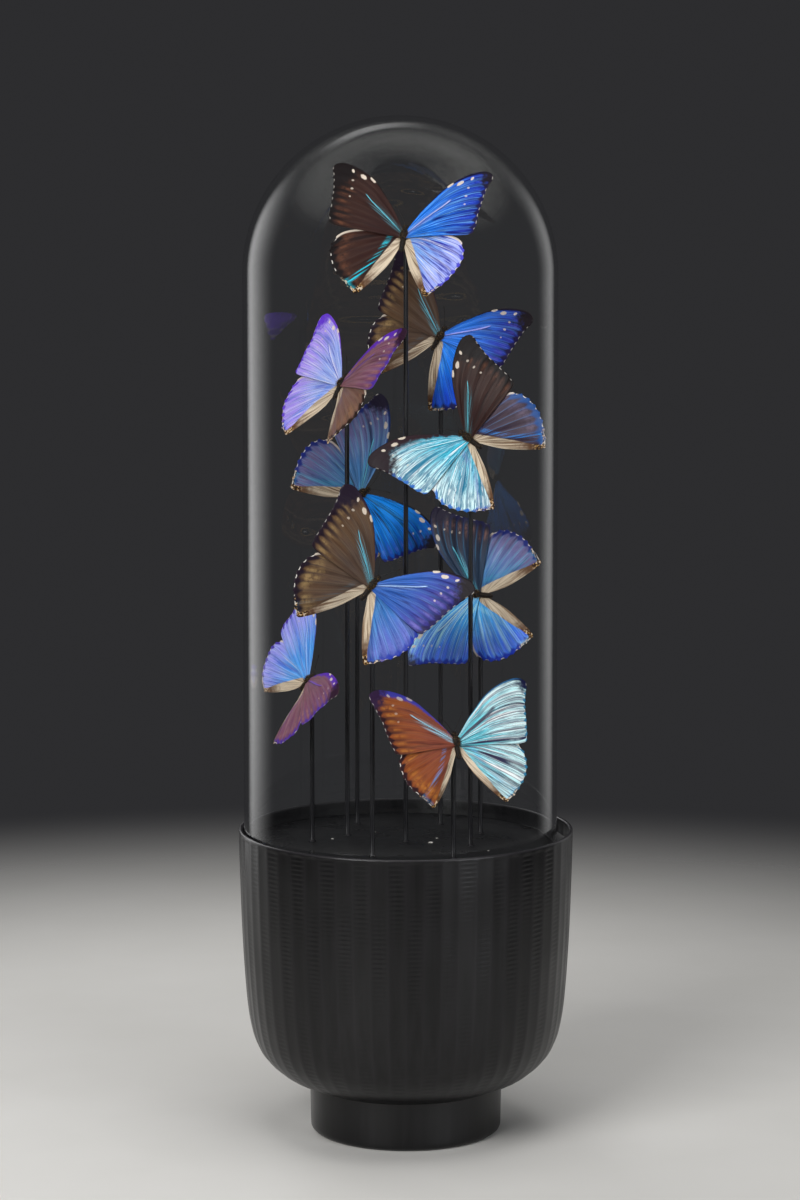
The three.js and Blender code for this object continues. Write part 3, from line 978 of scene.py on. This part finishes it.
# %% The forewing's own marks
def forewing_marks(finish, look, colour, cloud):
    """Dark tip and front edge, the bar of the cell with its painted highlight and shadow, and the cream
    spots.
    """
    out, forth = finish.read("out"), finish.read("forth")
    front_gap = finish.read("front_gap")
    away = finish.vector(finish.math("SUBTRACT", out, 52), finish.math("SUBTRACT", forth, 41))
    tip_gap = finish.add("ShaderNodeVectorMath", {0: away}, operation="LENGTH").outputs["Value"]
    tip_gap = finish.math("MULTIPLY_ADD", cloud, 12, tip_gap)
    band = finish.product(finish.step(out, -6, 48, 0.15, 1.0), look["edge_mm"])
    frayed = finish.math("MULTIPLY_ADD", cloud, 0.5 * look["edge_mm"], front_gap)
    edge = finish.step(finish.math("DIVIDE", frayed, band), 1.5, 0.9)
    colour = finish.mix(edge, colour, look["edge"])
    tip = finish.step(tip_gap, look["tip_mm"] + 11, look["tip_mm"] + 3)
    colour = finish.mix(tip, colour, look["tip"])

    bar_gap, bar_at = finish.read("bar_gap"), finish.read("bar_at")
    width = finish.step(bar_at, 0.0, 0.3, 0.4 * look["bar_mm"], look["bar_mm"])
    share = finish.math("DIVIDE", bar_gap, width)
    ends = finish.step(bar_at, 0.98, 0.9)
    # The bar is a crease: a painted highlight along it and a painted shadow just under it.
    bar_highlight = finish.product(finish.step(share, 1.3, 0.8), finish.step(bar_gap, -0.05, 0.12), ends)
    under = finish.product(finish.step(bar_gap, -0.75, -0.4), finish.step(bar_gap, 0.1, -0.1), ends)
    colour = finish.mix(finish.product(bar_highlight, 0.85), colour, look["bar"])
    colour = finish.mix(finish.product(under, 0.7), colour, look["dark"])
    sharp = finish.step(streaks_of(finish, 0.7, 7.0, 14), 0.5, 0.58)
    beside = finish.step(finish.math("ABSOLUTE", bar_gap), 3.4, 1.2)
    shine = finish.product(beside, sharp, finish.step(bar_at, 0.95, 0.5), look["shine"])
    colour = finish.mix(shine, colour, look["bar"])
    if look["flash"]:
        flecks = finish.step(streaks_of(finish, 2.2, 4.0, 66), 0.52, 0.62)
        inside = finish.step(finish.read("reach"), 0.98, 0.7)
        flash = finish.product(finish.step(front_gap, 24, 11), inside, flecks, look["flash"])
        colour = finish.mix(flash, colour, look["glint"])

    spots = finish.step(finish.math("MULTIPLY_ADD", cloud, 0.8, spots_of(finish, FRONT_SPOTS)), 1.55, 1.2)
    faint = finish.step(finish.math("MULTIPLY_ADD", cloud, 1.4, spots_of(finish, INNER_SPOTS)), 1.8, 1.3)
    spots = finish.math("MAXIMUM", finish.product(spots, 0.92), finish.product(faint, 0.6))
    spots = finish.product(spots, look["spots"])
    return finish.mix(spots, colour, CREAM), finish.math("MAXIMUM", tip, spots)


# %% The hindwing's own marks
def hindwing_marks(finish, look, colour, cloud):
    """Bright glints by the fold, a cream front edge, and the fold panel in painted sheen and shade, with its
    hooked end.
    """
    inner_gap, reach = finish.read("inner_gap"), finish.read("reach")
    near_fold = finish.math("ABSOLUTE", finish.math("SUBTRACT", inner_gap, 8.6))
    sharp = finish.step(streaks_of(finish, 1.2, 9.0, 14), 0.5, 0.58)
    glint = finish.product(finish.step(near_fold, 2.2, 0.6), sharp, look["glints"])
    colour = finish.mix(glint, colour, look["glint"])
    heel = finish.product(
        finish.step(reach, 0.9, 0.99), finish.step(finish.read("across"), 5.8, 6.8), look["glints"], 0.7
    )
    colour = finish.mix(heel, colour, look["glint"])
    colour = finish.mix(finish.product(finish.step(finish.read("front_gap"), 1.7, 0.8), 0.85), colour, CREAM)

    # Painted sheen and shade in streaks along the fold panel.
    silk = finish.step(streaks_of(finish, 1.4, 3.5, 21), 0.3, 0.62)
    panel = finish.mix(silk, PANEL["shaded"], PANEL["silk"])
    swayed = finish.math("MULTIPLY_ADD", cloud, 0.25, reach)
    panel = finish.mix(finish.step(swayed, 0.62, 0.98), panel, PANEL["brown"])
    width = finish.product(finish.step(reach, 0.0, 0.35, 4.5, 6.2), finish.step(reach, 0.45, 1.0, 1.0, 0.4))
    width = finish.product(width, look["panel"])
    fold = finish.step(finish.math("SUBTRACT", inner_gap, width), 0.5, -0.1)
    colour = finish.mix(fold, colour, panel)
    beads = finish.noise(finish.place(), 850, 1)
    on_panel = finish.product(fold, finish.step(reach, 0.8, 0.9))
    at_margin = finish.step(finish.read("margin_gap"), 1.8, 1.0)
    on_heel = finish.product(at_margin, finish.step(finish.read("across"), 5.6, 6.4))
    beaded = finish.math("MAXIMUM", on_panel, on_heel)
    for start, full, tone in ((0.5, 0.44, PANEL["hooks"]), (0.5, 0.54, PANEL["gold"]), (0.58, 0.62, CREAM)):
        colour = finish.mix(finish.product(beaded, finish.step(beads, start, full), 0.9), colour, tone)
    return colour, finish.math("MAXIMUM", fold, on_heel)


# %% The upper side
def wing_top(name, kind):
    """The upper side of a forewing or a hindwing in one look."""
    look = LOOKS[name]
    fore = kind is FOREWING
    finish = Finish(f"{name}_{'forewing' if fore else 'hindwing'}")
    across, reach = finish.read("across"), finish.read("reach")
    vein_gap, margin_gap = finish.read("vein_gap"), finish.read("margin_gap")
    middle = finish.math("PINGPONG", across, 0.5)
    cloud = finish.noise(finish.place(), 420, 3)
    colour, fine = ground_colour(finish, look)

    # A painted highlight beside each vein, then the vein's own dark line.
    starts = finish.step(reach, 0.4, 0.55) if fore else finish.step(reach, 0.1, 0.45)
    beside = finish.product(finish.step(vein_gap, 1.4, 0.5), starts, 0.2)
    colour = finish.mix(beside, colour, look["light"])
    colour = finish.mix(finish.product(finish.step(vein_gap, 0.34, 0.12), starts, 0.6), colour, look["vein"])

    slow = streaks_of(finish, 0.5, 0.6, 55)
    drift = finish.math("MULTIPLY_ADD", slow, 24, finish.math("ADD", margin_gap, -12))
    in_cell = finish.step(middle, 0.1, 0.45) if fore else finish.step(middle, -0.2, 0.3)
    smoke = finish.product(finish.step(middle, 0.4, 0.04), finish.step(drift, 15, 4), look["smoke"])
    colour = finish.mix(finish.product(smoke, 1.0 if fore else 0.45), colour, look["border"])
    patch = finish.product(
        in_cell, finish.step(drift, 14, 6), finish.step(margin_gap, 2.5, 6.5), finish.step(cloud, 0.25, 0.6),
        finish.step(streaks_of(finish, 1.2, 1.6, 77), 0.3, 0.6), look["blotches"],
    )
    colour = finish.mix(patch, colour, look["blotch"])
    wobble = finish.math("MULTIPLY_ADD", middle, 5.0, finish.product(cloud, 1.5))
    ragged = finish.math("SUBTRACT", finish.math("ADD", margin_gap, wobble), 2.0)
    border = finish.step(ragged, look["border_mm"] * 1.5, look["border_mm"] * 0.6)
    colour = finish.mix(border, colour, look["border"])
    if fore:
        colour, plain = forewing_marks(finish, look, colour, cloud)
    else:
        colour, plain = hindwing_marks(finish, look, colour, cloud)
    plain = finish.math("MAXIMUM", plain, border)

    broken = finish.step(finish.noise(finish.place(), 260, 2), 0.38, 0.52)
    fringe = finish.product(finish.step(margin_gap, 0.7, 0.35), finish.step(middle, 0.24, 0.34), broken)
    colour = finish.mix(finish.product(fringe, 0.45 if fore else 0.95), colour, FRINGE)
    plain = finish.math("MAXIMUM", plain, fringe)
    metal = finish.product(finish.math("SUBTRACT", 1.0, plain), look["metal"])
    finish.shade(Base_Color=colour, Metallic=metal, Roughness=finish.step(fine, 0.3, 0.7, 0.34, 0.5))
    finish.shade(Specular_IOR_Level=0.22)
    finish.bump(fine, 0.5, 0.14)
    return finish.material


# %% [markdown]
# ## The under side
#
# Seen from behind, a Morpho is a dead leaf: brown, with rows of ringed eyes and wavering pale lines. All nine
# insects share one pair of finishes for it. The eyes are rings round a point, so one distance, mixed in at
# four steps, draws them all.

# %% Brown with ringed eyes
FORE_EYES = [(36, 27, 2.4, 2.1, 0), (36.5, 19.5, 2.8, 2.5, 0), (37, 8.5, 3.2, 2.9, 0)]
HIND_EYES = [
    (29, -6.5, 3.0, 2.7, 0), (33.5, -19, 3.4, 3.1, 0), (29, -28.5, 3.2, 2.9, 0), (22, -31, 2.4, 2.2, 0),
]


def wing_under(kind):
    finish = Finish("forewing_under" if kind is FOREWING else "hindwing_under")
    cloud = finish.noise(finish.place(), 180, 4)
    fine = streaks_of(finish, 1.6, 6, 3)
    margin_gap, reach = finish.read("margin_gap"), finish.read("reach")
    colour = finish.mix(finish.step(cloud, 0.35, 0.65), paint("3f2a1e"), paint("6a4a34"))
    colour = finish.mix(finish.product(finish.step(fine, 0.52, 0.7), 0.5), colour, paint("8a6b4e"))
    swayed = finish.math("MULTIPLY_ADD", cloud, 5.0, margin_gap)
    for place in (5.5, 8.2, 21.5):
        line = finish.step(finish.math("ABSOLUTE", finish.math("SUBTRACT", swayed, place)), 0.8, 0.35)
        colour = finish.mix(finish.product(line, 0.55), colour, paint("ab9470"))
    veins = finish.product(finish.step(finish.read("vein_gap"), 0.4, 0.15), finish.step(reach, 0.1, 0.3), 0.7)
    colour = finish.mix(veins, colour, paint("2a1a12"))
    eye_gap = spots_of(finish, FORE_EYES if kind is FOREWING else HIND_EYES)
    for edge, ring in ((1.12, "1a100b"), (0.98, "c9a15a"), (0.72, "140d0c"), (0.24, "f2f2f6")):
        colour = finish.mix(finish.step(eye_gap, edge, edge - 0.06), colour, paint(ring))
    colour = finish.mix(finish.step(margin_gap, 0.7, 0.3), colour, paint("1c120d"))
    finish.shade(Base_Color=colour, Roughness=0.62, Specular_IOR_Level=0.35)
    finish.bump(fine, 0.3, 0.12)
    return finish.material


# %% [markdown]
# ## The body
#
# Between the wings sits a small dark body: a head with two bead eyes, a thorax in brown and bronze fur, and a
# short soft abdomen. Two fine antennae end in slim clubs, and four jointed legs are folded under it. The
# fur is what tells a moth-eaten toy from a real insect, so every hair is a thin closed spike in the mesh.

# %% Trunk, head and eyes
TRUNK = [
    # along, half width, half height, how high its middle is
    (-11.6, 0.05, 0.05, -0.4), (-11.2, 0.8, 0.75, -0.4), (-10, 1.35, 1.25, -0.35), (-8, 1.6, 1.55, -0.3),
    (-6, 1.75, 1.75, -0.2), (-4.2, 1.75, 1.8, -0.1), (-3.2, 1.65, 1.8, 0), (-2.4, 2.2, 2.2, 0.1),
    (-0.8, 2.75, 2.6, 0.2), (1, 2.85, 2.7, 0.25), (2.8, 2.4, 2.3, 0.2), (4, 1.6, 1.6, 0.1),
    (4.5, 1.2, 1.2, 0.05), (5, 1.4, 1.3, 0), (5.8, 1.65, 1.5, -0.05), (6.8, 1.5, 1.35, -0.15),
    (7.5, 0.9, 0.85, -0.25), (7.9, 0.05, 0.05, -0.3),
]
TRUNK_SIDES = 24
SEGMENT_PITCH = 1.35


def trunk():
    """The body's outline as rings, pinched a little at each ring of the abdomen."""
    line = smooth_line(TRUNK, 70)
    angle = np.arange(TRUNK_SIDES) * 2 * math.pi / TRUNK_SIDES
    on_abdomen = np.clip((-3.4 - line[:, 0]) / 1.5, 0, 1)
    pinch = 1 - 0.07 * on_abdomen * np.cos(2 * math.pi * line[:, 0] / SEGMENT_PITCH) ** 8
    wide, high = line[:, 1] * pinch, line[:, 2] * pinch
    x = wide[:, None] * np.cos(angle)
    z = high[:, None] * np.sin(angle) + line[:, 3][:, None]
    y = np.repeat(line[:, :1], TRUNK_SIDES, 1)
    points = np.stack([x, y, z], 2)
    faces = [face[::-1] for face in net_faces(len(line), TRUNK_SIDES, wrap=True)]
    faces.append(list(range(TRUNK_SIDES)))
    faces.append(list(range((len(line) - 1) * TRUNK_SIDES, len(line) * TRUNK_SIDES))[::-1])
    return points, faces


def ball(centre, radii, sides=16, rings=9):
    """A closed round bead."""
    angle = np.linspace(-math.pi / 2, math.pi / 2, rings)
    profile = np.stack([np.cos(angle), np.sin(angle)], 1)
    profile[[0, -1], 0] = 0
    points, faces = turned(profile, sides)
    return points * radii + centre, faces


# %% Fur
TUFTS = [
    # along, how many hairs, how long, how unruly
    ((-2.8, 3.8), 620, 2.1, 0.4), ((-10.6, -3), 260, 0.9, 0.25), ((4.8, 7.2), 120, 1.1, 0.4),
]
HAIR_RADIUS = 0.085


def fur(random, count, along, length, spread):
    """Closed spikes that stand on the trunk and lean towards the tail."""
    line = smooth_line(TRUNK, 70)
    y = random.uniform(*along, count)
    angle = random.uniform(0, 2 * math.pi, count)
    wide, high, middle = (np.interp(y, line[:, 0], line[:, i]) for i in (1, 2, 3))
    out = np.stack([np.cos(angle), np.zeros(count), np.sin(angle)], 1)
    foot = out * np.stack([wide, wide, high], 1) * 0.95 + np.stack([0 * y, y, middle], 1)
    lean = np.stack([random.normal(bias, spread, count) for bias in (0, -0.6, 0)], 1)
    way = out + lean
    way /= np.linalg.norm(way, axis=1)[:, None]
    tip = foot + way * random.uniform(0.6, 1.0, (count, 1)) * length
    side = np.cross(way, [0.3, 0.9, 0.2])
    side /= np.linalg.norm(side, axis=1)[:, None]
    other = np.cross(way, side)
    corners = [foot + HAIR_RADIUS * (math.cos(a) * side + math.sin(a) * other) for a in (0, 2.094, 4.189)]
    points = np.stack([*corners, tip], 1).reshape(-1, 3)
    faces = []
    for start in range(0, 4 * count, 4):
        faces += [[start, start + 2, start + 1]]
        faces += [[start + a, start + b, start + 3] for a, b in ((0, 1), (1, 2), (2, 0))]
    tone = np.repeat(random.uniform(0, 1, count), 4)
    return points, faces, tone


# %% Antennae and legs
ANTENNA = [(0.6, 6.9, 0.6), (2.0, 9.5, 1.2), (4.0, 13.0, 1.7), (6.4, 16.4, 1.9), (8.3, 18.8, 1.8)]
FRONT_LEG = [(1.2, 2.6, -1.2), (2.5, 4.2, -2.7), (2.7, 3.2, -3.6), (2.0, 0.4, -3.5)]
BACK_LEG = [(1.2, -0.8, -1.2), (3.2, -2.6, -2.8), (3.0, -4.6, -3.5), (2.2, -7.0, -3.3)]


def limbs(shape, slot, stance):
    for side in (-1, 1):
        mirror = np.array([side, 1, 1])
        feeler = smooth_line(ANTENNA, 22) * mirror
        club = 0.17 + 0.2 * np.exp(-(((np.linspace(0, 1, 22) - 0.93) / 0.08) ** 2))
        for path, radii in (
            (feeler, club),
            (smooth_line(FRONT_LEG, 14) * mirror, np.linspace(0.34, 0.16, 14)),
            (smooth_line(BACK_LEG, 14) * mirror, np.linspace(0.36, 0.16, 14)),
        ):
            points, faces = wire(path, radii, 8)
            shape.add(in_place(points, stance), faces, slot)


def insect_body(shape, stance, random, fur_slot, horn_slot):
    points, faces = trunk()
    shape.add(in_place(points.reshape(-1, 3), stance), faces, fur_slot, tone=0.25)
    for along, count, length, spread in TUFTS:
        points, faces, tone = fur(random, count, along, length, spread)
        shape.add(in_place(points, stance), faces, fur_slot, tone=tone)
    for side in (-1, 1):
        points, faces = ball((side * 1.45, 6.1, 0.1), (0.72, 0.9, 0.95))
        shape.add(in_place(points, stance), faces, horn_slot)
    limbs(shape, horn_slot, stance)


# %% Fur and horn finishes
def bronze_fur():
    finish = Finish("bronze_fur")
    tone = finish.read("tone")
    cloud = finish.noise(finish.place(), 700, 2)
    colour = finish.mix(finish.step(cloud, 0.35, 0.65), paint("0c0806"), paint("1e140d"))
    colour = finish.mix(finish.step(tone, 0.4, 0.95), colour, paint("9a7640"))
    finish.shade(Base_Color=colour, Roughness=0.6, Specular_IOR_Level=0.25)
    finish.bump(cloud, 0.2, 0.1)
    return finish.material


def black_horn():
    finish = Finish("black_horn")
    cloud = finish.noise(finish.place(), 900, 2)
    finish.shade(Base_Color=finish.mix(cloud, paint("0b0908"), paint("241a15")), Roughness=0.32)
    finish.shade(Coat_Weight=0.3, Coat_Roughness=0.15)
    return finish.material


# %% [markdown]
# ## Setting the nine insects
#
# Each butterfly is one piece with eight finishes: a look for each of its four wings, an under side for each
# pair, the fur and the horn. The order of the looks is left forewing, right forewing, left hindwing, right
# hindwing, as the insect itself has them from above.

# %% Looks for each insect
DRESS = [
    ("brown", "azure", "brown", "lavender"),
    ("golden", "violet_blue", "golden", "deep_blue"),
    ("periwinkle", "violet_brown", "periwinkle", "taupe"),
    ("ice", "brown", "ice", "mauve"),
    ("steel", "sea_blue", "steel", "sea_blue"),
    ("golden", "dusk_blue", "golden", "soft_blue"),
    ("sky_streaked", "slate", "sky_streaked", "steel"),
    ("cornflower", "violet_brown", "cornflower", "violet_brown"),
    ("rust", "ice_streaked", "rust", "ice_streaked"),
]
under_finishes = [wing_under(FOREWING), wing_under(HINDWING)]
fur_finish, horn_finish = bronze_fur(), black_horn()
top_finishes = {}


def top_for(name, kind):
    """The finish of a look on a kind of wing, made once and shared."""
    key = (name, kind is FOREWING)
    if key not in top_finishes:
        top_finishes[key] = wing_top(name, kind)
    return top_finishes[key]


# %% Butterflies
for number, (stance, dress) in enumerate(zip(STANCES, DRESS), 1):
    random = np.random.default_rng(700 + number)
    shape = Shape()
    tops = []
    for pair, kind, looks in (("fore", FOREWING, dress[:2]), ("hind", HINDWING, dress[2:])):
        for i, side in enumerate((-1, 1)):
            slots = (len(tops), 4 + (pair == "hind"), 4 + (pair == "hind"))
            seed = number * 1.7 + i * 0.6 + kind["seed"]
            wing_skin(kind, side, stance[pair][i], stance["lift"][i], seed, slots, shape, stance)
            tops.append(top_for(looks[i], kind))
    insect_body(shape, stance, random, 6, 7)
    finishes = [*tops, *under_finishes, fur_finish, horn_finish]
    make_piece(f"morpho_{number}", shape, finishes, [f"butterfly_{number}"])

# %% [markdown]
# ## The dome
#
# Blown glass is a clear body with two skins, an outer and an inner one, and the eye needs both: the light
# bends in at one and out at the other, and each gives its own mirror image. So the dome is one closed shape
# with a real wall, its lower lip ground and a little rounded, and its wall slightly uneven as blown glass is.
#
# Lamps would be stopped by it in a path tracer, although real glass lets nearly all light through, so the
# dome casts no shadow of its own.

# %% Blown glass
DOME_RADIUS = 100
DOME_WALL = 2.8
DOME_TOP = 648
DOME_OFFSET = -3.5
DOME_SEGMENTS = 144
CROWN_ROWS = 34
GLASS_IOR = 1.47
RIPPLE_SHARE = 0.0006

dome_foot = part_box("glass_dome")[0].z / MM
crown_centre = DOME_TOP - DOME_RADIUS


def crown(radius, rise, start, end):
    """Points of the rounded top from one angle above the horizon to another."""
    angle = np.radians(np.linspace(start, end, CROWN_ROWS))
    return [(max(radius * math.cos(a), 0), crown_centre + rise * math.sin(a)) for a in angle]


def dome_profile():
    inner = DOME_RADIUS - DOME_WALL
    heights = np.linspace(dome_foot + 3, crown_centre - 8, 26)
    inside = [(inner, h) for h in heights[::-1]]
    outside = [(DOME_RADIUS, h) for h in heights]
    lip = [(inner + 0.2, dome_foot + 0.7), (inner + 0.9, dome_foot), (DOME_RADIUS - 0.9, dome_foot)]
    lip.append((DOME_RADIUS - 0.2, dome_foot + 0.7))
    profile = [*crown(inner, inner, 90, 0), *inside, *lip, *outside, *crown(DOME_RADIUS, DOME_RADIUS, 0, 90)]
    profile[0] = (0, profile[0][1])
    profile[-1] = (0, profile[-1][1])
    return profile


def uneven(radius, height, angle):
    """The slow ripples of a blown wall, a tenth of a millimetre or so, none at the lip."""
    above = np.clip((height - dome_foot - 20) / 60, 0, 1)
    ripple = np.sin(2 * angle + height / 70) + 0.6 * np.sin(3 * angle - height / 41)
    ripple += 0.4 * np.sin(height / 23)
    return radius * (1 + RIPPLE_SHARE * above * ripple * (radius > 2))


def clear_glass():
    finish = Finish("clear_glass")
    film = finish.noise(finish.place(), 14, 3)
    tint = finish.mix(finish.step(film, 0.35, 0.65), (0.975, 0.988, 0.984, 1), (0.99, 0.997, 0.995, 1))
    finish.shade(Base_Color=tint, Transmission_Weight=1.0, IOR=GLASS_IOR, Roughness=0.0)
    return finish.material


dome_shape = Shape()
dome_points, dome_faces = turned(dome_profile(), DOME_SEGMENTS, uneven)
dome_shape.add(dome_points + [DOME_OFFSET, 0, 0], dome_faces)
dome = make_piece("blown_dome", dome_shape, [clear_glass()], ["glass_dome"])
dome.visible_shadow = False
not_mirrored.objects.link(dome)
not_mirrored.collection_objects[0].light_linking.link_state = "EXCLUDE"

# %% [markdown]
# ## Last count
#
# The triangles of all the shown pieces are counted and printed.

# %% The triangle count
bpy.context.view_layer.update()
total = sum(len(p.vertices) - 2 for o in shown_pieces() if o.type == "MESH" for p in o.data.polygons)
print("triangles in all:", total)
